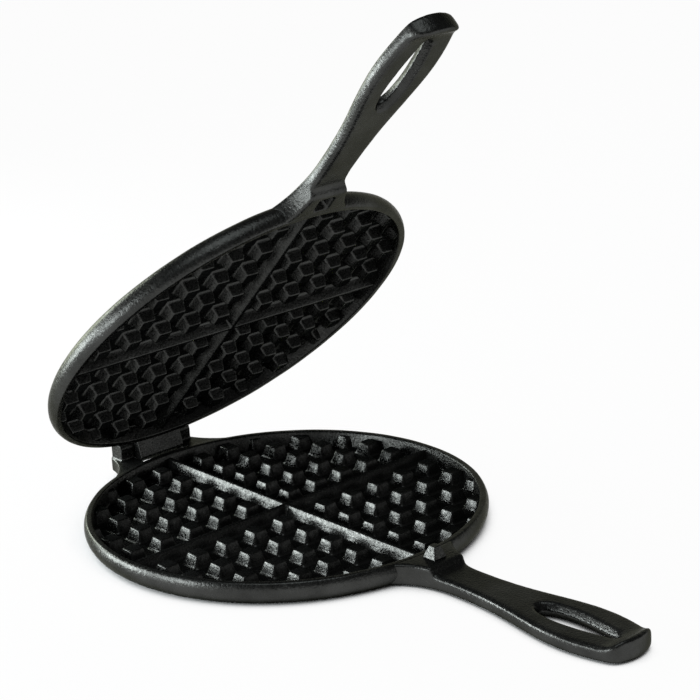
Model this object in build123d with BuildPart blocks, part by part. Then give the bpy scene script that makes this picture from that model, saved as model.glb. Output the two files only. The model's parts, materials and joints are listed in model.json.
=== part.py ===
"""Stovetop waffle iron: two cast-iron halves that hinge at the back and meet at a flat parting plane.

The lower half lies flat. The upper half is the same pattern turned over, with a tongue in place of
the ears and a pocket in place of the peg. +X runs to the handles, +Z is up, and the origin is the
centre of the lower plate's underside.
"""
from build123d import *

import os
from math import cos, hypot, radians, sin, tan

os.makedirs("parts", exist_ok=True)

# ---- driving dimensions, mm and degrees --------------------------------------------------------
OPEN_ANGLE = 46.0         # how far the upper half stands open

HALF_HEIGHT = 10.6        # underside of a plate to its rim
PARTING_GAP = 0.1         # between the two rims when shut
RIM_RADIUS = 95.0         # outer edge of the rim
RIM_WIDTH = 2.8
RIM_EDGE = 0.5
BELLY_SWELL = 1.4         # the outer wall swells below the rim
BELLY_HEIGHT = 6.4
FOOT_SET_IN = 2.6         # underside's edge, in from the rim's
FLOOR_THICKNESS = 2.8
WALL_DRAFT = 12.0         # lean of the inner wall
FLOOR_ROUND = 1.6         # inner wall to floor

STUD_PITCH = 17.0
STUD_OFFSET = 13.2        # centre line of the plate to the first row of studs
STUD_BASE = 10.6
STUD_SET_DOWN = 1.8       # top of a stud below the rim
STUD_DRAFT = 16.5
STUD_MIN_BITE = 2.5       # the least of a stud that the wall leaves

DIVIDER_BASE = 6.6
DIVIDER_SET_DOWN = 2.0    # top of the dividers below the rim
DIVIDER_DRAFT = 20.0

# Places along a handle, out from the rim
ROOT_INSIDE = 9.0         # the root's flare starts inside the plate's wall
SHOULDER_OUT = 3.0
PEG_OUT = 6.0
PAD_LENGTH = 12.0         # the pad at rim height, which carries the peg
NECK_OUT = 25.0
WAIST_OUT = 53.0
SLOT_OUT = 68.4
GRIP_OUT = 93.0
HANDLE_LENGTH = 122.5

ROOT_HALF = 30.0
SHOULDER_HALF = 14.8
NECK_HALF = 9.3
WAIST_HALF = 11.0
GRIP_HALF = 16.7
TIP_HALF = 12.0
TIP_BULGE = 3.5           # middle of the end face beyond its corners
TIP_ROUND = 5.5
GRIP_SET_DOWN = 3.6       # top of the grip below the rim
GRIP_THICKNESS = 6.5
HANDLE_EDGE = 1.2
PAD_STEP = 4.5            # length of the curved step down to the grip
LIP_SET_DOWN = 0.3        # top of the end lip below the rim
LIP_WIDTH = 3.2
LIP_RAMP = 8.0            # length of the curve that rises to the lip

SLOT_LENGTH = 42.0        # the slot is narrowest at mid-thickness, and these are its sizes there
SLOT_HALF = 4.7
SLOT_WIDEST = 16.6        # from the slot's start
SLOT_START_ROUND = 3.2
SLOT_END_ROUND = 1.5
SLOT_DRAFT = 35.0         # lean of its walls out to both faces

PEG_BASE = 8.0
PEG_HEIGHT = 5.6
PEG_DRAFT = 21.0
PEG_CLEARANCE = 0.4

HINGE_OUT = 11.5          # hinge axis behind the rim
HINGE_RISE = 3.0          # hinge axis above the lower rim
BRACKET_HALF = 22.0       # outer faces of the ears
BRACKET_SET_DOWN = 0.3    # top of the bracket below the rim
BRACKET_THICKNESS = 6.8
BRACKET_BACK = 7.5        # behind the hinge axis
FLARE_ROUND = 35.0        # bracket's sides to the plate's rim
BACK_WALL_FRONT = 4.4     # behind the hinge axis
STOP_GAP = 0.1            # tongue's corner to the back wall, fully open
EAR_FRONT = 4.1           # in front of the hinge axis
EAR_BACK = 4.5            # behind it
EAR_RISE = 5.0            # above it
EAR_ROUND = 2.4           # front and back of the ears' tops
EAR_CORNER = 5.0          # outer back corners, in plan
TONGUE_HALF = 13.5
TONGUE_GAP = 0.4          # each side, between tongue and ears
TONGUE_ROUND = 2.6        # tongue's sides to the plate's wall
TONGUE_SET_DOWN = 1.3     # tongue's crown below the upper plate's outside, when shut
TRUNNION_RADIUS = 2.5
TRUNNION_LENGTH = 4.2
TRUNNION_CLEARANCE = 0.05
BORE_END_GAP = 0.5
KNUCKLE_RADIUS = 5.0
OPEN_LIMIT = 105.0        # from shut

# Corners of the tongue when shut, across and up from the hinge axis
CROWN_ACROSS = 10.0
STOP_CORNER = (-2.6, 5.6)
HEEL_BACK = (0.4, -9.0)
HEEL_TIP = (4.6, -9.0)
TONGUE_FRONT = (9.6, 0.1)
HEEL_ROUND = 1.0

# ---- worked out --------------------------------------------------------------------------------
BELLY_RADIUS = RIM_RADIUS + BELLY_SWELL
FOOT_RADIUS = RIM_RADIUS - FOOT_SET_IN
CAVITY_RADIUS = RIM_RADIUS - RIM_WIDTH
FLOOR_RADIUS = CAVITY_RADIUS - (HALF_HEIGHT - FLOOR_THICKNESS) * tan(radians(WALL_DRAFT))
STUDS_PER_ROW = int(CAVITY_RADIUS / STUD_PITCH) + 1
STUD_HEIGHT = HALF_HEIGHT - STUD_SET_DOWN - FLOOR_THICKNESS
DIVIDER_HEIGHT = HALF_HEIGHT - DIVIDER_SET_DOWN - FLOOR_THICKNESS

ROOT_X = RIM_RADIUS - ROOT_INSIDE
SHOULDER_X = RIM_RADIUS + SHOULDER_OUT
PEG_X = RIM_RADIUS + PEG_OUT
PAD_END = RIM_RADIUS + PAD_LENGTH
NECK_X = RIM_RADIUS + NECK_OUT
WAIST_X = RIM_RADIUS + WAIST_OUT
SLOT_START = RIM_RADIUS + SLOT_OUT
SLOT_END = SLOT_START + SLOT_LENGTH
SLOT_WIDEST_X = SLOT_START + SLOT_WIDEST
GRIP_X = RIM_RADIUS + GRIP_OUT
HANDLE_END = RIM_RADIUS + HANDLE_LENGTH
TIP_X = HANDLE_END - TIP_BULGE
HANDLE_TOP = HALF_HEIGHT - GRIP_SET_DOWN
HANDLE_BOTTOM = HANDLE_TOP - GRIP_THICKNESS
LIP_TOP = HALF_HEIGHT - LIP_SET_DOWN
SLOT_MIDDLE = (HANDLE_TOP + HANDLE_BOTTOM) / 2

SHUT_HEIGHT = 2 * HALF_HEIGHT + PARTING_GAP
HINGE_X = -RIM_RADIUS - HINGE_OUT
HINGE_Z = HALF_HEIGHT + HINGE_RISE
UPPER_HINGE_Z = SHUT_HEIGHT - HINGE_Z      # the hinge axis above the upper plate's own underside
BRACKET_TOP = HALF_HEIGHT - BRACKET_SET_DOWN
BRACKET_BOTTOM = BRACKET_TOP - BRACKET_THICKNESS
BRACKET_BACK_X = HINGE_X - BRACKET_BACK
BACK_WALL_X = HINGE_X - BACK_WALL_FRONT
EAR_FRONT_X = HINGE_X + EAR_FRONT
EAR_BACK_X = HINGE_X - EAR_BACK
EAR_TOP = HINGE_Z + EAR_RISE
EAR_INNER = TONGUE_HALF + TONGUE_GAP
CROWN_UP = UPPER_HINGE_Z - TONGUE_SET_DOWN
BEYOND = 2 * RIM_RADIUS                    # past anything it cuts or trims


def turned(across, up, angle):
    """Turn a point given from the hinge axis by an angle in the opening direction."""
    c, s = cos(radians(angle)), sin(radians(angle))
    return HINGE_X + c * across - s * up, HINGE_Z + s * across + c * up


upper_x, upper_z = turned(-HINGE_X, UPPER_HINGE_Z, OPEN_ANGLE)
stop_x, stop_z = turned(*STOP_CORNER, OPEN_LIMIT)
BACK_WALL_TOP = stop_z - STOP_GAP

# Each half has a plane at the centre of its underside, with x to its handle and z to its rim.
LOWER = Plane.XY
UPPER = Plane(
    origin=(upper_x, 0, upper_z),
    x_dir=(cos(radians(OPEN_ANGLE)), 0, sin(radians(OPEN_ANGLE))),
    z_dir=(sin(radians(OPEN_ANGLE)), 0, -cos(radians(OPEN_ANGLE))),
)


def on(half, plane):
    """A plane given from a half's own plane."""
    return Plane(half.location * plane.location)


def side(half):
    """The upright plane through a half's middle, with x to its handle and y to its rim."""
    return on(half, Plane.XZ)


def spindle(half):
    return Axis(half.origin, half.z_dir)


def nearest(shape, *point):
    return shape.vertices().sort_by_distance(point)[0]


def save(piece, label):
    piece.part.label = label
    export_step(piece.part, f"parts/{label}.step")


# ---- solids to trim with -----------------------------------------------------------------------
def plate_envelope(half):
    """The outside of a plate, without its batter space."""
    with BuildPart() as envelope:
        with BuildSketch(side(half)):
            with BuildLine():
                wall = ThreePointArc(
                    (FOOT_RADIUS, 0), (BELLY_RADIUS, BELLY_HEIGHT), (RIM_RADIUS, HALF_HEIGHT)
                )
                Polyline(wall @ 1, (0, HALF_HEIGHT), (0, 0), wall @ 0)
            make_face()
        revolve(axis=spindle(half))
    return envelope.part


def batter_space(half):
    """The hollow of a plate, from its floor to its rim."""
    with BuildPart() as space:
        with BuildSketch(side(half)) as section:
            with BuildLine():
                Polyline(
                    (0, FLOOR_THICKNESS),
                    (FLOOR_RADIUS, FLOOR_THICKNESS),
                    (CAVITY_RADIUS, HALF_HEIGHT),
                    (0, HALF_HEIGHT),
                    close=True,
                )
            make_face()
            fillet(nearest(section, FLOOR_RADIUS, FLOOR_THICKNESS), FLOOR_ROUND)
        revolve(axis=spindle(half))
    return space.part


# ---- what both halves have ---------------------------------------------------------------------
def make_pan(half, label):
    """Round plate with a raised rim."""
    with BuildPart() as pan:
        with BuildSketch(side(half)) as section:
            with BuildLine():
                wall = ThreePointArc(
                    (FOOT_RADIUS, 0), (BELLY_RADIUS, BELLY_HEIGHT), (RIM_RADIUS, HALF_HEIGHT)
                )
                Polyline(
                    wall @ 1,
                    (CAVITY_RADIUS, HALF_HEIGHT),
                    (FLOOR_RADIUS, FLOOR_THICKNESS),
                    (0, FLOOR_THICKNESS),
                    (0, 0),
                    wall @ 0,
                )
            make_face()
            fillet(nearest(section, FLOOR_RADIUS, FLOOR_THICKNESS), FLOOR_ROUND)
            fillet(nearest(section, CAVITY_RADIUS, HALF_HEIGHT), RIM_EDGE)
        revolve(axis=spindle(half))
    save(pan, label)


def stud_centres():
    """Stud centres in all four quarters, where the wall leaves enough of a stud."""
    rows = [STUD_OFFSET + STUD_PITCH * step for step in range(STUDS_PER_ROW)]
    kept = []
    for x in rows:
        for y in rows:
            inner_corner = hypot(x - STUD_BASE / 2, y - STUD_BASE / 2)
            if inner_corner < FLOOR_RADIUS - STUD_MIN_BITE:
                kept += [(x, y), (-x, y), (-x, -y), (x, -y)]
    return kept


def make_studs(half, label):
    """Pyramid studs, cut off square on top and trimmed by the plate's wall."""
    space = batter_space(half)
    with BuildPart() as studs:
        with BuildSketch(on(half, Plane.XY.offset(FLOOR_THICKNESS))):
            with Locations(*stud_centres()):
                Rectangle(STUD_BASE, STUD_BASE)
        extrude(amount=STUD_HEIGHT, taper=STUD_DRAFT)
        add(space, mode=Mode.INTERSECT)
    save(studs, label)


def make_dividers(half, label):
    """The cross that divides the waffle in four."""
    space = batter_space(half)
    with BuildPart() as dividers:
        with BuildSketch(on(half, Plane.XY.offset(FLOOR_THICKNESS))):
            Rectangle(BEYOND, DIVIDER_BASE)
            Rectangle(DIVIDER_BASE, BEYOND)
        extrude(amount=DIVIDER_HEIGHT, taper=DIVIDER_DRAFT)
        add(space, mode=Mode.INTERSECT)
    save(dividers, label)


def make_handle(half, label, with_pocket=False):
    """Handle with its root flare, pad, hanging slot and end lip."""
    envelope = plate_envelope(half)
    lip_start = HANDLE_END - LIP_WIDTH
    with BuildPart() as handle:
        with BuildSketch(on(half, Plane.XY.offset(HANDLE_BOTTOM))) as outline:
            with BuildLine():
                root = Spline(
                    (ROOT_X, ROOT_HALF),
                    (SHOULDER_X, SHOULDER_HALF),
                    (NECK_X, NECK_HALF),
                    tangents=((1, -3), (1, 0)),
                )
                grip = Spline(
                    root @ 1,
                    (WAIST_X, WAIST_HALF),
                    (GRIP_X, GRIP_HALF),
                    (TIP_X, TIP_HALF),
                    tangents=((1, 0), (1, -0.35)),
                )
                ThreePointArc(grip @ 1, (HANDLE_END, 0), (TIP_X, -TIP_HALF))
                mirror(root, about=Plane.XZ)
                mirror(grip, about=Plane.XZ)
                Line((ROOT_X, -ROOT_HALF), (ROOT_X, ROOT_HALF))
            make_face()
            fillet(nearest(outline, TIP_X, TIP_HALF), TIP_ROUND)
            fillet(nearest(outline, TIP_X, -TIP_HALF), TIP_ROUND)
        extrude(amount=HALF_HEIGHT - HANDLE_BOTTOM)
        # What stands over the step, the grip and the lip
        with BuildSketch(side(half)):
            with BuildLine():
                step = Spline(
                    (PAD_END, HALF_HEIGHT),
                    (PAD_END + PAD_STEP, HANDLE_TOP),
                    tangents=((1, 0), (1, 0)),
                )
                ramp = Spline(
                    (lip_start - LIP_RAMP, HANDLE_TOP),
                    (lip_start, LIP_TOP),
                    tangents=((1, 0), (1, 1)),
                )
                Line(step @ 1, ramp @ 0)
                Polyline(
                    ramp @ 1,
                    (lip_start + BEYOND, LIP_TOP),
                    (lip_start + BEYOND, BEYOND),
                    (PAD_END, BEYOND),
                    step @ 0,
                )
            make_face()
        extrude(amount=BEYOND, both=True, mode=Mode.SUBTRACT)
        fillet(long_edges(handle, half, HANDLE_BOTTOM), HANDLE_EDGE)
        fillet(long_edges(handle, half, HANDLE_TOP), HANDLE_EDGE)
        with BuildSketch(on(half, Plane.XY.offset(SLOT_MIDDLE))):
            with BuildLine():
                near_arc = ThreePointArc(
                    (SLOT_START + SLOT_START_ROUND, -SLOT_START_ROUND),
                    (SLOT_START, 0),
                    (SLOT_START + SLOT_START_ROUND, SLOT_START_ROUND),
                )
                far_arc = ThreePointArc(
                    (SLOT_END - SLOT_END_ROUND, SLOT_END_ROUND),
                    (SLOT_END, 0),
                    (SLOT_END - SLOT_END_ROUND, -SLOT_END_ROUND),
                )
                flank = Spline(
                    near_arc @ 1,
                    (SLOT_WIDEST_X, SLOT_HALF),
                    far_arc @ 0,
                    tangents=((1, 0.4), (1, -0.2)),
                )
                mirror(flank, about=Plane.XZ)
            make_face()
        extrude(amount=HANDLE_TOP - HANDLE_BOTTOM, both=True, taper=-SLOT_DRAFT, mode=Mode.SUBTRACT)
        if with_pocket:
            mouth = PEG_BASE + 2 * PEG_CLEARANCE
            with BuildSketch(on(half, Plane.XY.offset(HALF_HEIGHT))):
                with Locations((PEG_X, 0)):
                    Rectangle(mouth, mouth)
            extrude(amount=-PEG_HEIGHT - PEG_CLEARANCE, taper=PEG_DRAFT, mode=Mode.SUBTRACT)
        add(envelope, mode=Mode.SUBTRACT)
    save(handle, label)


def long_edges(piece, half, height):
    """The curved edges of a handle that lie at one height above its underside."""
    level = on(half, Plane.XY.offset(height))
    return [
        edge
        for edge in piece.edges()
        if abs(level.to_local_coords(edge @ 0).Z) < 0.01
        and abs(level.to_local_coords(edge @ 1).Z) < 0.01
        and abs(level.to_local_coords(edge @ 0).Y - level.to_local_coords(edge @ 1).Y) < 15
        and level.to_local_coords(edge @ 0.5).X > ROOT_X + 1
    ]


# ---- what only one half has --------------------------------------------------------------------
def make_peg(label):
    """Pyramid on the lower pad that finds the pocket of the upper one."""
    with BuildPart() as peg:
        with BuildSketch(on(LOWER, Plane.XY.offset(HALF_HEIGHT))):
            with Locations((PEG_X, 0)):
                Rectangle(PEG_BASE, PEG_BASE)
        extrude(amount=PEG_HEIGHT, taper=PEG_DRAFT)
    save(peg, label)


def make_bracket(label):
    """Flange behind the lower plate, with two ears that hold the trunnions in blind bores."""
    envelope = plate_envelope(LOWER)
    flare_corner_x = -((RIM_RADIUS**2 - BRACKET_HALF**2) ** 0.5)
    with BuildPart() as bracket:
        with BuildSketch(Plane.XY.offset(BRACKET_BOTTOM)) as outline:
            Circle(RIM_RADIUS)
            with Locations((-BEYOND / 2, 0)):
                Rectangle(BEYOND, 2 * BRACKET_HALF)
            fillet(nearest(outline, flare_corner_x, BRACKET_HALF), FLARE_ROUND)
            fillet(nearest(outline, flare_corner_x, -BRACKET_HALF), FLARE_ROUND)
            with Locations((BRACKET_BACK_X, 0)):
                Rectangle(
                    -BRACKET_BACK_X,
                    BEYOND,
                    align=(Align.MIN, Align.CENTER),
                    mode=Mode.INTERSECT,
                )
            back_corners = outline.vertices().group_by(Axis.X)[0]
            fillet(back_corners, EAR_CORNER)
            with Locations((BACK_WALL_X, 0)):
                Rectangle(
                    -BACK_WALL_X,
                    2 * EAR_INNER,
                    align=(Align.MIN, Align.CENTER),
                    mode=Mode.SUBTRACT,
                )
        extrude(amount=BRACKET_TOP - BRACKET_BOTTOM)
        with BuildSketch(Plane.XY.offset(BACK_WALL_TOP)):
            with Locations((BACK_WALL_X, 0)):
                Rectangle(BEYOND, 2 * EAR_INNER, align=(Align.MAX, Align.CENTER))
        extrude(amount=BEYOND, mode=Mode.SUBTRACT)
        with BuildSketch(Plane.XZ.offset(EAR_INNER)) as ear:
            with BuildLine():
                Polyline(
                    (EAR_BACK_X, BRACKET_BOTTOM),
                    (EAR_FRONT_X, BRACKET_BOTTOM),
                    (EAR_FRONT_X, EAR_TOP),
                    (EAR_BACK_X, EAR_TOP),
                    close=True,
                )
            make_face()
            fillet(nearest(ear, EAR_FRONT_X, EAR_TOP), EAR_ROUND)
            fillet(nearest(ear, EAR_BACK_X, EAR_TOP), EAR_ROUND)
        extrude(amount=BRACKET_HALF - EAR_INNER)
        with BuildSketch(Plane.XZ.offset(EAR_INNER)):
            with Locations((HINGE_X, HINGE_Z)):
                Circle(TRUNNION_RADIUS + TRUNNION_CLEARANCE)
        extrude(amount=TRUNNION_LENGTH - TONGUE_GAP + BORE_END_GAP, mode=Mode.SUBTRACT)
        mirror(about=Plane.XZ)
        add(envelope, mode=Mode.SUBTRACT)
    save(bracket, label)


def shut(across, up):
    """A point given from the hinge axis with the iron shut, on the upper half's side plane."""
    return HINGE_X + across, UPPER_HINGE_Z - up


def make_tongue(label):
    """Tongue behind the upper plate, with a trunnion on each side and a heel that hangs down."""
    envelope = plate_envelope(UPPER)
    flare_corner_x = -((RIM_RADIUS**2 - TONGUE_HALF**2) ** 0.5)
    with BuildPart() as tongue:
        with BuildSketch(side(UPPER)) as section:
            with BuildLine():
                Polyline(
                    shut(-HINGE_X - ROOT_X, CROWN_UP),
                    shut(CROWN_ACROSS, CROWN_UP),
                    shut(*STOP_CORNER),
                    shut(*HEEL_BACK),
                    shut(*HEEL_TIP),
                    shut(*TONGUE_FRONT),
                    shut(-HINGE_X - ROOT_X, TONGUE_FRONT[1]),
                    close=True,
                )
            make_face()
            fillet(nearest(section, *shut(*HEEL_TIP)), HEEL_ROUND)
            fillet(nearest(section, *shut(*HEEL_BACK)), HEEL_ROUND)
            with Locations(shut(0, 0)):
                Circle(KNUCKLE_RADIUS)
        extrude(amount=TONGUE_HALF + TONGUE_ROUND, both=True)
        with BuildSketch(UPPER) as plan:
            Circle(RIM_RADIUS)
            with Locations((-BEYOND / 2, 0)):
                Rectangle(BEYOND, 2 * TONGUE_HALF)
            fillet(nearest(plan, flare_corner_x, TONGUE_HALF), TONGUE_ROUND)
            fillet(nearest(plan, flare_corner_x, -TONGUE_HALF), TONGUE_ROUND)
        extrude(amount=BEYOND, both=True, mode=Mode.INTERSECT)
        with BuildSketch(side(UPPER)):
            with Locations(shut(0, 0)):
                Circle(TRUNNION_RADIUS)
        extrude(amount=TONGUE_HALF + TRUNNION_LENGTH, both=True)
        add(envelope, mode=Mode.SUBTRACT)
    save(tongue, label)


for half, name in ((LOWER, "lower"), (UPPER, "upper")):
    make_pan(half, f"{name}_pan")
    make_studs(half, f"{name}_studs")
    make_dividers(half, f"{name}_dividers")
    make_handle(half, f"{name}_handle", with_pocket=half is UPPER)

make_peg("locating_peg")
make_bracket("hinge_bracket")
make_tongue("hinge_tongue")
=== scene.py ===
# %% [markdown]
# # A stovetop waffle iron in cast iron
#
# The real object is two iron castings that hinge together. Sand casting leaves soft edges, small
# fillets in every corner and a fine grain all over, and burnt-on oil turns the iron black. The CAD
# model gives the sizes and the joint. This scene gives each casting its skin: the pattern of studs
# as one flowing surface, soft handles, and a grainy black finish that catches the light.

import json
from collections import Counter
from math import atan2, cos, degrees, hypot, pi, radians, sin, tan

import bpy
import bmesh
import numpy as np
from mathutils import Matrix, Vector, noise


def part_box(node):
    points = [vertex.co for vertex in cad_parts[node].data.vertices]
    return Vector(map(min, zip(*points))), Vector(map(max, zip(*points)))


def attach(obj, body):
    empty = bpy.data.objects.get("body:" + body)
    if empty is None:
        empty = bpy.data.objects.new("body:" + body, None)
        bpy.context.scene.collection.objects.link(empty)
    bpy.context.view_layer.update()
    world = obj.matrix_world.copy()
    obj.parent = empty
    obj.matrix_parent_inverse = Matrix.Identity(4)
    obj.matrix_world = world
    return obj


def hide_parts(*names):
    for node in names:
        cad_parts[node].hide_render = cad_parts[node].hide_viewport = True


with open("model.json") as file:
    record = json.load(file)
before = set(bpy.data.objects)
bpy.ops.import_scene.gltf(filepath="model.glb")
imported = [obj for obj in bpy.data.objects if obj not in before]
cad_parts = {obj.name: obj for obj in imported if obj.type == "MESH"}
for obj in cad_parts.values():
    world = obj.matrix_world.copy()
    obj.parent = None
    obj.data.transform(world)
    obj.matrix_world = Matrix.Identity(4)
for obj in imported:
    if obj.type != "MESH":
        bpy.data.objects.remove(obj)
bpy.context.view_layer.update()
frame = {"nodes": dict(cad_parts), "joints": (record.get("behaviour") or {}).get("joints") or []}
MM = 0.001

# %% [markdown]
# Both halves come from almost the same mould. Each could be modelled where it stands, but then
# every shape would be worked out twice, the second time upside down and tilted. So each shape is
# built lying flat with its cooking side up, and a matrix turns the upper one over and swings it
# about the hinge. The hinge point and the opening angle are read from the joint, so the two
# always agree with the CAD.

# %% Place the two halves
lid_joint = frame["joints"][0]
HINGE_X = lid_joint["pos_m"][0] / MM
HINGE_Z = lid_joint["pos_m"][2] / MM
OPEN_ANGLE = radians(-lid_joint["range_deg"][0])
PARTING_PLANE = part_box("lower_pan")[1].z / MM
RIM_CLEARANCE = 0.1
SHUT_HEIGHT = 2 * PARTING_PLANE + RIM_CLEARANCE

turn_over = Matrix.Translation((0, 0, SHUT_HEIGHT)) @ Matrix.Rotation(pi, 4, "X")
swing_open = (
    Matrix.Translation((HINGE_X, 0, HINGE_Z))
    @ Matrix.Rotation(-OPEN_ANGLE, 4, "Y")
    @ Matrix.Translation((-HINGE_X, 0, -HINGE_Z))
)
PLACE = {"lower": Matrix.Identity(4), "upper": swing_open @ turn_over}
print("upper half stands open by", round(degrees(OPEN_ANGLE), 1), "degrees")

# %% [markdown]
# A mesh is only lists of corners and faces. The pieces could also be put together from ready-made
# cylinders and cubes, but lists leave every corner where this object needs it. One helper makes an
# object of any mesh: smooth, in one finish, and riding on its half's CAD body, so that it moves
# with the joint. The other takes lists in millimetres and puts them where their half stands.


# %% Helpers: from corners and faces to an object
def put_in_half(name, half, mesh, material):
    """An object of a mesh that is already in its place."""
    mesh.materials.clear()
    mesh.materials.append(material)
    mesh.polygons.foreach_set("use_smooth", [True] * len(mesh.polygons))
    piece = bpy.data.objects.new(name, mesh)
    bpy.context.scene.collection.objects.link(piece)
    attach(piece, f"{half}_half")
    return piece


def make_piece(name, half, corners, faces, material):
    """An object from corners in a half's own millimetres."""
    mesh = bpy.data.meshes.new(name)
    mesh.from_pydata([(PLACE[half] @ Vector(corner)) * MM for corner in corners], [], faces)
    shape = bmesh.new()
    shape.from_mesh(mesh)
    bmesh.ops.recalc_face_normals(shape, faces=shape.faces)
    shape.to_mesh(mesh)
    shape.free()
    return put_in_half(name, half, mesh, material)


# %% [markdown]
# A material is a tree of nodes, and two small jobs come back in each tree here: carrying a value
# over from one range to another, and putting two values together. Each could be wired by hand
# every time, but a helper for each keeps the finishes and the room below short.

# %% Helpers: ranges and sums in a node tree
RANGE_SOCKETS = ("From Min", "From Max", "To Min", "To Max")


def change_range(tree, value, *limits, curve="SMOOTHSTEP"):
    """A value between the first two limits carried over to lie between the last two."""
    node = tree.nodes.new("ShaderNodeMapRange")
    for socket, limit in zip(RANGE_SOCKETS, limits):
        node.inputs[socket].default_value = limit
    node.interpolation_type = curve
    tree.links.new(value, node.inputs["Value"])
    return node.outputs["Result"]


def combine(tree, operation, first, second):
    """Two values put together by one operation of the Math node."""
    node = tree.nodes.new("ShaderNodeMath")
    node.operation = operation
    tree.links.new(first, node.inputs[0])
    tree.links.new(second, node.inputs[1])
    return node.outputs[0]


# %% [markdown]
# The finish is burnt-on oil over grainy iron. Pictures of iron could be wrapped round the shapes,
# but they would stretch, so noise in the object's own space makes the finish instead. It is mostly
# a nearly black metal. Plain metal mirrors everything at a grazing angle, however dark it is, so
# its edge tint is dark too, and a trace warmer. The rest is the oil, with a faint gloss of its own.
# Fine noise is the grain: it lifts the surface, and the raised spots are a little rougher than the
# hollows. Slow noise makes the tone uneven from place to place, as handling and heat do.

# %% Finish: black seasoned iron
METAL_SHARE = 0.84
EDGE_WARMTH = 0.9
# Scale, detail and roughness of the two noises, and the part of a noise's range that is used
GRAIN = (850, 2, 0.5)
CLOUDS = (60, 4, 0.55)
NOISE_LOW, NOISE_HIGH = 0.3, 0.7
DARKEST, PALEST = 0.75, 1.3
HOLLOWS_SMOOTHER, GRAINS_ROUGHER = 0.07, 0.12


def seasoned_iron(name, tone, rough, grain_depth, edge_shine, oil_shine):
    """Black oil-cured cast iron, with its grain's depth in millimetres."""
    material = bpy.data.materials.new(name)
    material.use_nodes = True
    tree = material.node_tree
    nodes, links = tree.nodes, tree.links
    shader = nodes["Principled BSDF"]
    where = nodes.new("ShaderNodeTexCoord")

    def speckle(scale, detail, roughness):
        texture = nodes.new("ShaderNodeTexNoise")
        texture.inputs["Scale"].default_value = scale
        texture.inputs["Detail"].default_value = detail
        texture.inputs["Roughness"].default_value = roughness
        links.new(where.outputs["Object"], texture.inputs["Vector"])
        return texture.outputs["Fac"]

    def spread(value, low, high):
        return change_range(tree, value, NOISE_LOW, NOISE_HIGH, low, high, curve="LINEAR")

    grain = speckle(*GRAIN)
    cloud = speckle(*CLOUDS)

    tint = nodes.new("ShaderNodeMix")
    tint.data_type = "RGBA"
    tint.inputs["A"].default_value = (*(c * DARKEST for c in tone), 1)
    tint.inputs["B"].default_value = (*(c * PALEST for c in tone), 1)
    links.new(spread(cloud, 0, 1), tint.inputs["Factor"])
    links.new(tint.outputs["Result"], shader.inputs["Base Color"])
    roughness = spread(grain, rough - HOLLOWS_SMOOTHER, rough + GRAINS_ROUGHER)
    links.new(roughness, shader.inputs["Roughness"])
    edge_tint = (edge_shine, edge_shine, EDGE_WARMTH * edge_shine, 1)
    shader.inputs["Metallic"].default_value = METAL_SHARE
    shader.inputs["Specular Tint"].default_value = edge_tint
    shader.inputs["Specular IOR Level"].default_value = oil_shine

    bump = nodes.new("ShaderNodeBump")
    bump.inputs["Strength"].default_value = 1.0
    bump.inputs["Distance"].default_value = grain_depth * MM
    links.new(grain, bump.inputs["Height"])
    links.new(bump.outputs["Normal"], shader.inputs["Normal"])
    return material


# %% [markdown]
# The iron has two finishes. The outside is handled and wiped, so it has a faint gloss of oil and
# edges that shine a little. The cooking side has no such gloss, darker edges and a shallower
# grain. One material could do for both, but then the studs would glitter as the handles do.

# %% The two finishes
outer_finish = seasoned_iron(
    "seasoned_iron_outside",
    tone=(0.050, 0.051, 0.049), rough=0.28, grain_depth=0.17, edge_shine=0.36, oil_shine=0.3,
)
cooking_finish = seasoned_iron(
    "seasoned_iron_cooking_side",
    tone=(0.048, 0.049, 0.047), rough=0.26, grain_depth=0.13, edge_shine=0.2, oil_shine=0.0,
)
print("finishes:", outer_finish.name, cooking_finish.name)

# %% [markdown]
# Each pan is a shallow dish with a leaning wall, and its rim and foot are rounded as the sand left
# them. It could be cut out of a cylinder, but a turned shape is simpler and smoother: one outline
# swept round the middle. A slow noise then moves the surface by up to a tenth of a millimetre, so
# that the highlight along the wall wavers as it does on a real casting.

# %% Sizes of a pan, in millimetres
RIM_RADIUS = 95.0
RIM_WIDTH = 2.8
BELLY_RADIUS = 96.4
BELLY_HEIGHT = 6.4
FOOT_RADIUS = 92.4
FLOOR = 2.8
WALL_DRAFT = radians(12)
CAVITY_RADIUS = RIM_RADIUS - RIM_WIDTH
FLOOR_RADIUS = CAVITY_RADIUS - (PARTING_PLANE - FLOOR) * tan(WALL_DRAFT)
print("floor inside a pan:", round(2 * FLOOR_RADIUS, 1), "mm across")

# %% Helper: the wave of a casting
CASTING_WAVE, WAVE_LENGTH = 0.10, 14.0
AXIS_SHIFT = 7.1


def wavy(corner, amount=CASTING_WAVE, size=WAVE_LENGTH):
    """A corner moved a little by slow noise, by another stretch of it along each axis."""
    place = Vector(corner) / size
    return tuple(
        c + amount * noise.noise(place + Vector((AXIS_SHIFT * axis, 0, 0)))
        for axis, c in enumerate(corner)
    )


# %% Helpers: arcs for an outline
CORNER_STEPS = 5


def rounded(corners):
    """An outline of points, each with a radius: an arc of that radius, or the point if it is 0."""
    made = []
    for i, (corner, radius) in enumerate(corners):
        if radius == 0:
            made.append(tuple(corner))
            continue
        here = Vector(corner)
        before = (Vector(corners[i - 1][0]) - here).normalized()
        after = (Vector(corners[(i + 1) % len(corners)][0]) - here).normalized()
        half_angle = before.angle(after) / 2
        reach = radius / tan(half_angle)
        centre = here + (before + after).normalized() * (radius / sin(half_angle))
        start, end = here + before * reach - centre, here + after * reach - centre
        sweep = start.angle_signed(end)
        for step in range(CORNER_STEPS + 1):
            turn = -sweep * step / CORNER_STEPS
            x = centre.x + start.x * cos(turn) - start.y * sin(turn)
            y = centre.y + start.x * sin(turn) + start.y * cos(turn)
            made.append((x, y))
    return made


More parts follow.
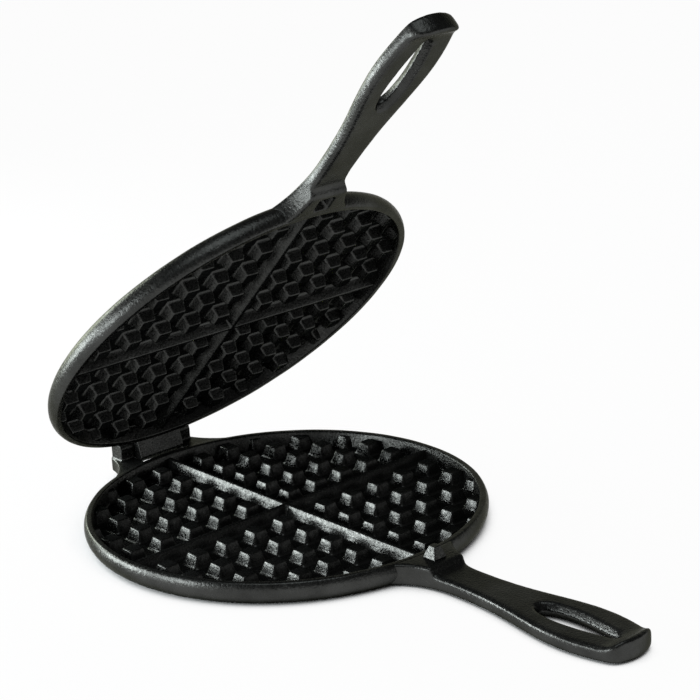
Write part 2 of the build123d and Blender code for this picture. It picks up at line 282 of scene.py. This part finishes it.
def arc_through(start, middle, end, steps):
    """Points on the circle through three points."""
    (ax, ay), (bx, by), (cx, cy) = start, middle, end
    bend = 2 * (ax * (by - cy) + bx * (cy - ay) + cx * (ay - by))
    a_square, b_square, c_square = ax * ax + ay * ay, bx * bx + by * by, cx * cx + cy * cy
    centre_x = (a_square * (by - cy) + b_square * (cy - ay) + c_square * (ay - by)) / bend
    centre_y = (a_square * (cx - bx) + b_square * (ax - cx) + c_square * (bx - ax)) / bend
    first = atan2(ay - centre_y, ax - centre_x)
    last = atan2(cy - centre_y, cx - centre_x)
    radius = hypot(ax - centre_x, ay - centre_y)
    turns = [first + (last - first) * step / steps for step in range(steps + 1)]
    return [(centre_x + radius * cos(turn), centre_y + radius * sin(turn)) for turn in turns]


def wall_arc(steps):
    """The outside of a pan's wall, from its foot over its belly to its rim."""
    belly, rim = (BELLY_RADIUS, BELLY_HEIGHT), (RIM_RADIUS, PARTING_PLANE)
    return arc_through((FOOT_RADIUS, 0), belly, rim, steps)


# %% The outline of a pan
WALL_STEPS = 14
UNDERSIDE_RINGS = (0, 30, 60, 86)
FOOT_ROUNDING, RIM_ROUNDING, FLOOR_ROUNDING = 0.9, 1.0, 1.8
# The plate's own floor lies a little under the cooking pattern, which covers it
UNDER_PATTERN = 0.4
PLATE_FLOOR = FLOOR - UNDER_PATTERN


def pan_outline():
    """Half a section of a pan, from the middle of its underside to the middle of its floor."""
    foot, *belly, rim = wall_arc(WALL_STEPS)
    corners = [((radius, 0), 0) for radius in UNDERSIDE_RINGS]
    corners += [(foot, FOOT_ROUNDING), *((point, 0) for point in belly), (rim, RIM_ROUNDING)]
    corners += [
        ((CAVITY_RADIUS, PARTING_PLANE), RIM_ROUNDING),
        ((FLOOR_RADIUS, PLATE_FLOOR), FLOOR_ROUNDING),
        ((0, PLATE_FLOOR), 0),
    ]
    return rounded(corners)


print("points in a pan's outline:", len(pan_outline()))

# %% Turn the two pans
PAN_SEGMENTS = 256


def make_pan(half):
    """A plate turned from the outline. Its wave stops at 0, where it stands on the stove."""
    rings = [(radius, height) for radius, height in pan_outline() if radius > 0]
    points = [(0, 0, 0)]
    for radius, height in rings:
        for step in range(PAN_SEGMENTS):
            turn = 2 * pi * step / PAN_SEGMENTS
            x, y, z = wavy((radius * cos(turn), radius * sin(turn), height))
            points.append((x, y, max(z, 0)))
    points.append((0, 0, PLATE_FLOOR))
    last_point = len(points) - 1
    last_ring = 1 + (len(rings) - 1) * PAN_SEGMENTS
    faces = []
    for step in range(PAN_SEGMENTS):
        beside = (step + 1) % PAN_SEGMENTS
        faces.append((0, 1 + beside, 1 + step))
        for low in range(1, last_ring, PAN_SEGMENTS):
            high = low + PAN_SEGMENTS
            faces.append((low + step, low + beside, high + beside, high + step))
        faces.append((last_ring + step, last_ring + beside, last_point))
    piece = make_piece(f"{half}_plate", half, points, faces, outer_finish)
    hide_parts(f"{half}_pan")
    return piece


pans = [make_pan(half) for half in PLACE]
print("faces in a pan:", len(pans[0].data.polygons))

# %% [markdown]
# The cooking pattern is 88 studs in four quarters, and a cross between the quarters divides the
# waffle. It could be 88 separate studs, but a casting has no seams: each stud flows into the floor
# through a small fillet. So the whole pattern is one sheet, with a height for each point of a
# grid. The grid lines aren't even. They crowd together exactly where a stud's edge, slope and
# fillet are, so a few lines give crisp slopes, and smooth shading gives soft edges.

# %% Sizes of the pattern
STUD_PITCH = 17.0
STUD_OFFSET = 13.2
STUD_BASE = 10.6
STUD_MIN_BITE = 2.5
STUDS_PER_ROW = int(CAVITY_RADIUS / STUD_PITCH) + 1
# Height over the floor at each distance from a stud's middle, from its flat top to its fillet
STUD_SECTION = [
    (0, 6.0), (2.7, 6.0), (2.96, 5.99), (3.24, 5.93), (3.43, 5.79), (3.57, 5.47),
    (4.35, 3.18), (4.95, 1.3), (5.3, 0.5), (5.8, 0.1), (6.4, 0),
]
# The same for the cross that divides the waffle
DIVIDER_SECTION = [
    (0, 5.8), (0.55, 5.78), (0.85, 5.66), (1.05, 5.35),
    (2.1, 2.7), (2.75, 1.1), (3.2, 0.4), (3.8, 0.1), (4.4, 0),
]


# %% Helpers: where the studs stand
def stud_rows():
    """The places of the rows of studs, the same both ways."""
    steps = [STUD_OFFSET + STUD_PITCH * n for n in range(STUDS_PER_ROW)]
    return [-s for s in reversed(steps)] + steps


def has_stud(x, y):
    """Whether a stud's inner corner is far enough inside the wall for a stud to stand there."""
    inner = hypot(abs(x) - STUD_BASE / 2, abs(y) - STUD_BASE / 2)
    return inner < FLOOR_RADIUS - STUD_MIN_BITE


print("studs in a half:", sum(has_stud(x, y) for x in stud_rows() for y in stud_rows()))

# %% Helper: the height of the pattern
# A stud is a square with rounded corners: the higher this power, the sharper they are
ROUND_CORNER_POWER = 9
# No two studs come out of the sand equally high
STUD_UNEVENNESS = 0.02
UNEVEN_SCALE, UNEVEN_LAYER = 0.37, 3


def pattern_height(x, y, rows):
    """Height over the floor: the highest of the nearest stud and the two bars of the cross."""
    across = min(rows, key=lambda r: abs(r - x))
    along = min(rows, key=lambda r: abs(r - y))
    high = 0.0
    if has_stud(across, along):
        dx, dy = abs(x - across), abs(y - along)
        far = (dx**ROUND_CORNER_POWER + dy**ROUND_CORNER_POWER) ** (1 / ROUND_CORNER_POWER)
        high = float(np.interp(far, *zip(*STUD_SECTION)))
        lift = noise.noise(Vector((across, along, UNEVEN_LAYER)) * UNEVEN_SCALE)
        high *= 1 + STUD_UNEVENNESS * lift
    for away in (abs(x), abs(y)):
        high = max(high, float(np.interp(away, *zip(*DIVIDER_SECTION))))
    return high


print("middle of the cross:", pattern_height(0, 0, stud_rows()), "mm over the floor")

# %% Helper: the lines of the grid
PATTERN_RADIUS = 93.0
GRID_MARGIN = 3
LEAST_GAP = 0.12


def grid_lines():
    """Places of the lines, the same both ways: at each bend of a section and between the studs."""
    lines = {0.0}
    for row in stud_rows():
        for away, _ in STUD_SECTION:
            lines |= {row - away, row + away}
        lines |= {row + STUD_PITCH / 2, row - STUD_PITCH / 2}
    for away, _ in DIVIDER_SECTION:
        lines |= {-away, away}
    kept = []
    for line in sorted(lines):
        if abs(line) < PATTERN_RADIUS + GRID_MARGIN and (not kept or line - kept[-1] > LEAST_GAP):
            kept.append(line)
    return kept


print("grid lines each way:", len(grid_lines()))

# %% Helper: close the sheet underneath
SHEET_UNDERSIDE = 1.4


def close_underneath(points, faces):
    """A skirt and a flat underside, both hidden in the pan's floor, so that the sheet is solid."""
    sides = [side for face in faces for side in zip(face, face[1:] + face[:1])]
    times_used = Counter(frozenset(side) for side in sides)
    middle = len(points)
    points.append((0, 0, SHEET_UNDERSIDE))
    below = {}
    for a, b in sides:
        if times_used[frozenset((a, b))] > 1:
            continue
        for c in (a, b):
            if c not in below:
                below[c] = len(points)
                points.append((*points[c][:2], SHEET_UNDERSIDE))
        faces.append((b, a, below[a], below[b]))
        faces.append((below[b], below[a], middle))


# %% Lay the two patterns
PATTERN_WAVE, PATTERN_WAVE_LENGTH = 0.06, 9.0


def make_pattern(half):
    """A sheet over the grid. Its edge is drawn in to a circle that runs inside the wall."""
    rows, lines = stud_rows(), grid_lines()
    number = {}
    points, faces = [], []

    def corner(i, j):
        if (i, j) not in number:
            x, y = lines[i], lines[j]
            high = FLOOR + pattern_height(x, y, rows)
            away = hypot(x, y)
            if away > PATTERN_RADIUS:
                x, y = x * PATTERN_RADIUS / away, y * PATTERN_RADIUS / away
            number[i, j] = len(points)
            points.append(wavy((x, y, high), PATTERN_WAVE, PATTERN_WAVE_LENGTH))
        return number[i, j]

    for i in range(len(lines) - 1):
        for j in range(len(lines) - 1):
            square = ((i, j), (i + 1, j), (i + 1, j + 1), (i, j + 1))
            if any(hypot(lines[a], lines[b]) <= PATTERN_RADIUS for a, b in square):
                faces.append([corner(a, b) for a, b in square])
    close_underneath(points, faces)
    piece = make_piece(f"{half}_waffle_pattern", half, points, faces, cooking_finish)
    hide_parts(f"{half}_studs", f"{half}_dividers")
    return piece


patterns = [make_pattern(half) for half in PLACE]
print("faces in a pattern:", len(patterns[0].data.polygons))

# %% [markdown]
# The handles, the hinge and the peg have freer shapes. They could be sculpted by hand, but then
# their sizes would drift away from the CAD, so here the CAD solids are the starting point. A voxel
# remesh turns each one into an even skin, and smoothing then wears its edges down and fills its
# corners, which is just what the sand does to a casting. Smoothing can only fill a corner within
# one mesh. So a stretch of the pan's wall is added to each shape that grows out of the wall.

# %% Helper: a stretch of the pan's wall to grow out of
WALL_SET_IN = 0.25
INNER_FOOT, INNER_TOP = 1.2, 0.9
STRETCH_FOOT = 1.0
STRETCH_TOP = PARTING_PLANE - WALL_SET_IN
STRETCH_STEPS, STRETCH_WALL_STEPS = 40, 10


def add_wall_stretch(shape, half, middle, spread):
    """A stretch of the pan's wall, a hair inside the real one, so that a skin runs up to it."""
    section = [(CAVITY_RADIUS + INNER_FOOT, STRETCH_FOOT)]
    for radius, height in wall_arc(STRETCH_WALL_STEPS):
        section.append((radius - WALL_SET_IN, min(max(height, STRETCH_FOOT), STRETCH_TOP)))
    section.append((CAVITY_RADIUS + INNER_TOP, STRETCH_TOP))
    rings = []
    for step in range(STRETCH_STEPS + 1):
        turn = middle + spread * (2 * step / STRETCH_STEPS - 1)
        ring = [PLACE[half] @ Vector((r * cos(turn), r * sin(turn), z)) * MM for r, z in section]
        rings.append([shape.verts.new(corner) for corner in ring])
    count = len(section)
    for ring, following in zip(rings, rings[1:]):
        for i in range(count):
            j = (i + 1) % count
            shape.faces.new((ring[i], ring[j], following[j], following[i]))
    shape.faces.new(rings[0])
    shape.faces.new(reversed(rings[-1]))


# %% [markdown]
# Hands wear a grip's edges rounder than the sand left them. Smoothing the whole casting more would
# do it, but it would melt the neck into the wall and open the hanging slot. So the extra rounds
# take only the outer part of the skin, and fewer of them where that part begins, and they leave
# the slot's walls alone. Parts that swing past each other get the opposite care: their skins are
# drawn in by a hair, so that they stay clear of each other.

# %% Helpers: wear and play
SMOOTH_SHARE = 0.5
WEAR_BLEND = 12
SLOT_BEGINS, SLOT_ENDS, SLOT_HALF_WIDTH = 160, 203, 8.6


def wear_down(skin, half, beyond, times):
    """Extra rounding for the part of a skin that lies further out than a distance."""
    shape = bmesh.new()
    shape.from_mesh(skin)
    to_flat = PLACE[half].inverted()
    outward = []
    for corner in shape.verts:
        x, y, _ = to_flat @ (corner.co / MM)
        if not (SLOT_BEGINS < x < SLOT_ENDS and abs(y) < SLOT_HALF_WIDTH):
            outward.append((x - beyond, corner))
    for step in range(times):
        outer = [corner for out, corner in outward if out > WEAR_BLEND * step / times]
        bmesh.ops.smooth_vert(
            shape, verts=outer, factor=SMOOTH_SHARE,
            use_axis_x=True, use_axis_y=True, use_axis_z=True,
        )
    shape.to_mesh(skin)
    shape.free()


def draw_in(skin, play):
    """The whole skin moved inwards by its play, in millimetres."""
    inwards = [-play * MM * corner.normal for corner in skin.vertices]
    for corner, step in zip(skin.vertices, inwards):
        corner.co += step


# %% Helper: a soft skin over CAD solids
SAME_PLACE = 1e-6


def join_solids(name, half, node_names, wall):
    """CAD solids of one half in one mesh, with the stretch of wall that they grow out of."""
    shape = bmesh.new()
    for node in node_names:
        shape.from_mesh(frame["nodes"][node].data)
    bmesh.ops.remove_doubles(shape, verts=shape.verts, dist=SAME_PLACE)
    if wall:
        add_wall_stretch(shape, half, *wall)
        bmesh.ops.recalc_face_normals(shape, faces=shape.faces)
    mesh = bpy.data.meshes.new(name)
    shape.to_mesh(mesh)
    shape.free()
    return mesh


def soft_casting(name, half, node_names, voxel, smoothings, wall=None, worn=None, play=0):
    """A piece with the soft skin of a casting; voxel and play are in millimetres."""
    mesh = join_solids(name, half, node_names, wall)
    rough = bpy.data.objects.new(name + "_rough", mesh)
    bpy.context.scene.collection.objects.link(rough)
    remesh = rough.modifiers.new("even skin", "REMESH")
    remesh.mode = "VOXEL"
    remesh.voxel_size = voxel * MM
    soften = rough.modifiers.new("worn edges", "SMOOTH")
    soften.factor = SMOOTH_SHARE
    soften.iterations = smoothings
    seen = rough.evaluated_get(bpy.context.evaluated_depsgraph_get())
    skin = bpy.data.meshes.new_from_object(seen)
    bpy.data.objects.remove(rough)
    skin.name = name
    if worn:
        wear_down(skin, half, *worn)
    draw_in(skin, play)
    piece = put_in_half(name, half, skin, outer_finish)
    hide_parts(*node_names)
    print(name, "has", len(skin.polygons), "faces")


# %% [markdown]
# A grip is a flat bar that narrows to a waist and swells again round its hanging slot, and the
# upper one's edges are a little rounder than the lower one's. The skins could be as fine as the
# hinge's, but the grips are large and plain, and a coarser voxel needs less than half the faces.

# %% The two grips
AT_HANDLE = (0.0, radians(27))
GRIP_BEGINS = 107
GRIP_WEAR = {"lower": 20, "upper": 24}
for half, wear in GRIP_WEAR.items():
    soft_casting(
        f"{half}_grip", half, [f"{half}_handle"], voxel=0.6, smoothings=6,
        wall=AT_HANDLE, worn=(GRIP_BEGINS, wear),
    )

# %% [markdown]
# The hinge is cast with the halves: two ears on the lower one, and between them a knuckle on the
# upper one. It could be left as plain CAD, but its sharp edges would give it away beside the soft
# pans. Its corners are small, so its voxels are too, and its two skins are drawn in for play.

# %% The hinge
AT_HINGE = (pi, radians(38))
AT_TONGUE = (pi, radians(14))
soft_casting(
    "hinge_ears", "lower", ["hinge_bracket"], voxel=0.4, smoothings=8, wall=AT_HINGE, play=0.05
)
soft_casting(
    "hinge_knuckle", "upper", ["hinge_tongue"], voxel=0.4, smoothings=8, wall=AT_TONGUE, play=0.1
)

# %% [markdown]
# A small peg on the lower half finds a pocket in the upper one, so that the two shut in register.
# A cone would nearly do, but the same skin gives it the same soft edges as its neighbours. It
# stands on a flat pad, so it needs no stretch of wall.

# %% The register peg
soft_casting("register_peg", "lower", ["locating_peg"], voxel=0.3, smoothings=3, play=0.1)

# %% [markdown]
# The room is a white sweep under a dim ceiling. Black iron mirrors whatever is round it, so the
# room is as much a part of the finish as the material is: the ceiling is what keeps flat faces
# black. A dark flag, as a studio hangs beside black things, brings the ceiling down on the
# handles' side, where the slopes of the upper studs would mirror too much white. The sweep could
# be modelled, but a world that changes with the direction of the view does the same at less cost.
# It has to be pure white to the eye and in reflections, but mild as a light. Light Path tells who
# is looking: camera, glossy and transmission rays see its full white, and all others see less.


# %% Helper: who is looking
def direct_look(tree):
    """1 for camera, glossy and transmission rays, 0 for the rest."""
    path = tree.nodes.new("ShaderNodeLightPath")
    seen = path.outputs["Is Camera Ray"]
    for kind in ("Is Glossy Ray", "Is Transmission Ray"):
        seen = combine(tree, "MAXIMUM", seen, path.outputs[kind])
    return seen


# %% The white room
# Heights are those of a view's direction: 0 is level with the horizon and 1 is straight up
SWEEP_TOP = 0.3
CEILING_START = 0.6
SWEEP_WHITE, CEILING_GLOW = 1.0, 0.05
SWEEP_AS_LIGHT = 0.35
FLAG_FROM, FLAG_FULL, FLAG_DROP = -0.3, 0.4, 0.3

world = bpy.data.worlds.new("room")
bpy.context.scene.world = world
world.use_nodes = True
room = world.node_tree
glow = room.nodes["Background"]
glow.inputs["Color"].default_value = (1, 1, 1, 1)
direction = room.nodes.new("ShaderNodeTexCoord")
parts = room.nodes.new("ShaderNodeSeparateXYZ")
room.links.new(direction.outputs["Generated"], parts.inputs[0])
flag = change_range(room, parts.outputs["X"], FLAG_FROM, FLAG_FULL, 0, FLAG_DROP)
height = combine(room, "ADD", parts.outputs["Z"], flag)
white = change_range(room, height, SWEEP_TOP, CEILING_START, SWEEP_WHITE, CEILING_GLOW)
as_light = change_range(room, direct_look(room), 0, 1, SWEEP_AS_LIGHT, 1.0)
room.links.new(combine(room, "MULTIPLY", white, as_light), glow.inputs["Strength"])
print("nodes in the room:", len(room.nodes))

# %% [markdown]
# The iron stands on white paper that runs on to the horizon. A shadow catcher would keep only the
# shadow, but the iron also mirrors the paper, so it is a real sheet.

# %% The floor
SPAN = 4.0
floor_mesh = bpy.data.meshes.new("floor")
floor_corners = [(-SPAN, -SPAN, 0), (SPAN, -SPAN, 0), (SPAN, SPAN, 0), (-SPAN, SPAN, 0)]
floor_mesh.from_pydata(floor_corners, [], [(0, 1, 2, 3)])
floor = bpy.data.objects.new("floor", floor_mesh)
bpy.context.scene.collection.objects.link(floor)
print("floor reaches", SPAN, "m each way")

# %% [markdown]
# Paper under studio lamps comes out grey at the edge of the frame. Stronger lamps would whiten it,
# but they would grey the iron too. So most of its white is its own, as if it glowed. Ambient
# occlusion takes that share away within 9 cm of the iron, where the real contact shadow is nearly
# black, and there plain paper is left to be lit and shaded by the lamps.

# %% White paper
PAPER_TONE = (0.85, 0.85, 0.85, 1)
PAPER_ROUGH = 0.9
CONTACT_REACH = 0.09
CONTACT_SAMPLES = 8
SHADED, OPEN = 0.2, 0.72
OWN_WHITE = 0.97

paper_white = bpy.data.materials.new("white_paper")
paper_white.use_nodes = True
sheet = paper_white.node_tree
paper = sheet.nodes["Principled BSDF"]
paper.inputs["Base Color"].default_value = PAPER_TONE
paper.inputs["Roughness"].default_value = PAPER_ROUGH
paper.inputs["Specular IOR Level"].default_value = 0.0
nearby = sheet.nodes.new("ShaderNodeAmbientOcclusion")
nearby.inputs["Distance"].default_value = CONTACT_REACH
nearby.samples = CONTACT_SAMPLES
open_share = change_range(sheet, nearby.outputs["AO"], SHADED, OPEN, 0, OWN_WHITE)
share = combine(sheet, "MULTIPLY", open_share, direct_look(sheet))
shine = sheet.nodes.new("ShaderNodeEmission")
either_white = sheet.nodes.new("ShaderNodeMixShader")
sheet.links.new(share, either_white.inputs["Fac"])
sheet.links.new(paper.outputs["BSDF"], either_white.inputs[1])
sheet.links.new(shine.outputs["Emission"], either_white.inputs[2])
sheet.links.new(either_white.outputs["Shader"], sheet.nodes["Material Output"].inputs["Surface"])
floor_mesh.materials.append(paper_white)
bpy.context.scene.view_settings.view_transform = "Standard"
print("own white of the paper:", OWN_WHITE)

# %% [markdown]
# Black iron shows almost nothing but highlights, so the lamps draw its shape. One large lamp would
# grey it evenly. Instead three soft boxes stand low and close, in front, on the left and between
# the two, and put a grey sheen on the walls and on the side of each stud that faces them. A weak
# one above gives the tops a little light. All are a trace cool, as daylight is.

# %% Studio lamps
COOL_WHITE = (0.92, 0.98, 1.0)
MIDDLE = (0.0, 0.0, 0.08)


def lamp(name, place, size, watts):
    """A soft box at a place, with its width and height, that looks at the middle of the iron."""
    light = bpy.data.lights.new(name, "AREA")
    light.shape = "RECTANGLE"
    light.size, light.size_y = size
    light.energy = watts
    light.color = COOL_WHITE
    holder = bpy.data.objects.new(name, light)
    bpy.context.scene.collection.objects.link(holder)
    holder.location = place
    aim = Vector(MIDDLE) - Vector(place)
    holder.rotation_euler = aim.to_track_quat("-Z", "Y").to_euler()
    holder.visible_camera = False
    print(name, "stands", round(aim.length, 2), "m from the middle of the iron")


lamp("softbox_front_left", (-0.52, -0.47, 0.12), size=(0.34, 0.22), watts=5.2)
lamp("softbox_left", (-0.75, -0.10, 0.25), size=(0.35, 0.4), watts=7)
lamp("softbox_front", (-0.22, -1.11, 0.28), size=(0.5, 0.36), watts=5)
lamp("fill_above", (0.3, -0.3, 1.3), size=(0.9, 0.9), watts=4)

# %% [markdown]
# The camera stands in front and to the right, on the handles' side, and a little above. It could
# be aimed by a constraint, but a matrix also holds the slight roll of a camera in the hand. Its
# three directions are worked out first: towards the camera, to its right, and up.

# %% Where the camera stands
AZIMUTH, ELEVATION, ROLL = radians(48.694), radians(18.066), radians(-3.079)
DISTANCE = 956.81
TARGET_RIGHT, TARGET_UP = 29.857, 81.200

toward = Vector((sin(AZIMUTH) * cos(ELEVATION), -cos(AZIMUTH) * cos(ELEVATION), sin(ELEVATION)))
level_right = Vector((cos(AZIMUTH), sin(AZIMUTH), 0))
level_up = toward.cross(level_right)
right = cos(ROLL) * level_right + sin(ROLL) * level_up
up = -sin(ROLL) * level_right + cos(ROLL) * level_up
aim_point = right * TARGET_RIGHT + up * TARGET_UP
print("camera looks at, in mm:", [round(v, 1) for v in aim_point])

# %% Camera
IMAGE_SIDE = 700
FOCAL_PIXELS = 2000.0
SENSOR_WIDTH = 36.0

camera_data = bpy.data.cameras.new("camera")
camera_data.sensor_width = SENSOR_WIDTH
camera_data.lens = FOCAL_PIXELS / IMAGE_SIDE * camera_data.sensor_width
camera = bpy.data.objects.new("camera", camera_data)
bpy.context.scene.collection.objects.link(camera)
turned = Matrix((right, up, toward)).transposed().to_4x4()
camera.matrix_world = Matrix.Translation((aim_point + toward * DISTANCE) * MM) @ turned
bpy.context.scene.camera = camera
print("lens", round(camera_data.lens, 1), "mm")
